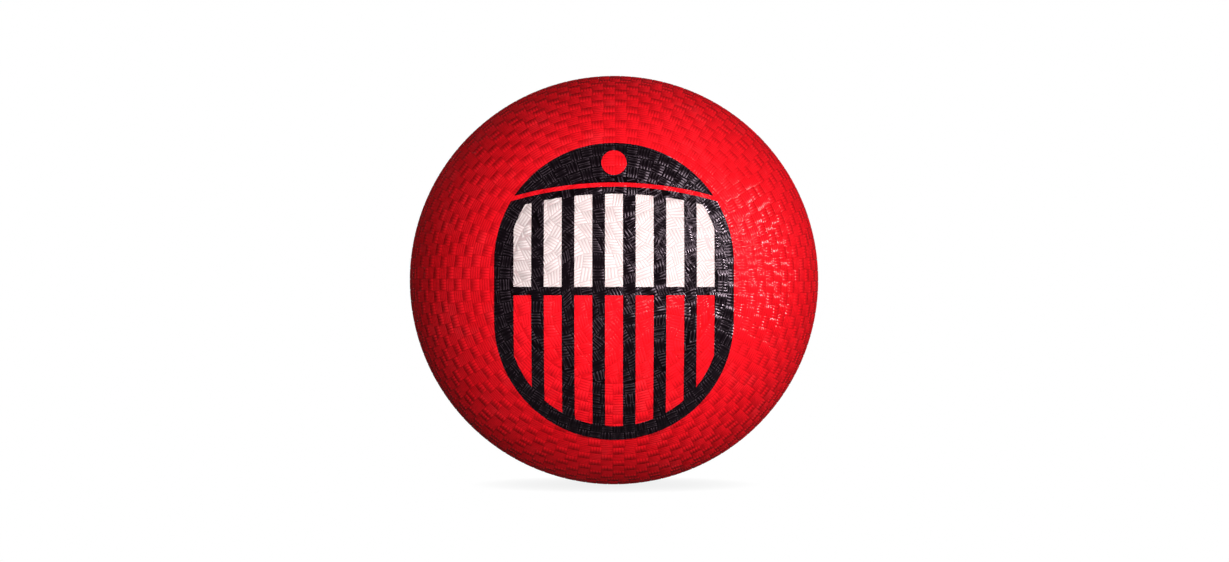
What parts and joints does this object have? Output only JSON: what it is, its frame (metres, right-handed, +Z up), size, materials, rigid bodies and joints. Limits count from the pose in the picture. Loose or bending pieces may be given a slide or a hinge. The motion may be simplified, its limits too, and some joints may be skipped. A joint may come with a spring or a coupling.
{
  "type": "playground ball",
  "caption": "Inflated rubber playground ball with moulded basket-weave ribs, a plain printed panel on its front and a self-sealing needle valve at its back.",
  "frame": {"origin": "centre of the ball", "axes": "+Z up, the print faces -Y, and +Y runs along the mould's axis and out of the valve at the back pole"},
  "size_m": [0.254, 0.2541, 0.254],
  "materials": {
    "cover_rubber": "satin, moulded basket-weave ribs",
    "ply_rubber": "matt, calendered sheet",
    "winding_nylon": "wound thread, rubberised",
    "bladder_butyl": "matt, dusted with talc",
    "patch_canvas": "rubberised canvas",
    "valve_rubber": "satin",
    "core_rubber": "soft, oiled",
    "ink_black": "flexible ink, satin",
    "ink_white": "flexible ink, satin"
  },
  "bodies": {
    "root": {"cover_front": "cover_rubber", "cover_back": "cover_rubber", "ply_front": "ply_rubber", "ply_back": "ply_rubber", "winding": "winding_nylon", "bladder_front": "bladder_butyl", "bladder_back": "bladder_butyl", "valve_patch": "patch_canvas", "valve_housing": "valve_rubber", "valve_core": "core_rubber", "print_black": "ink_black", "print_white": "ink_white"}
  },
  "joints": []
}
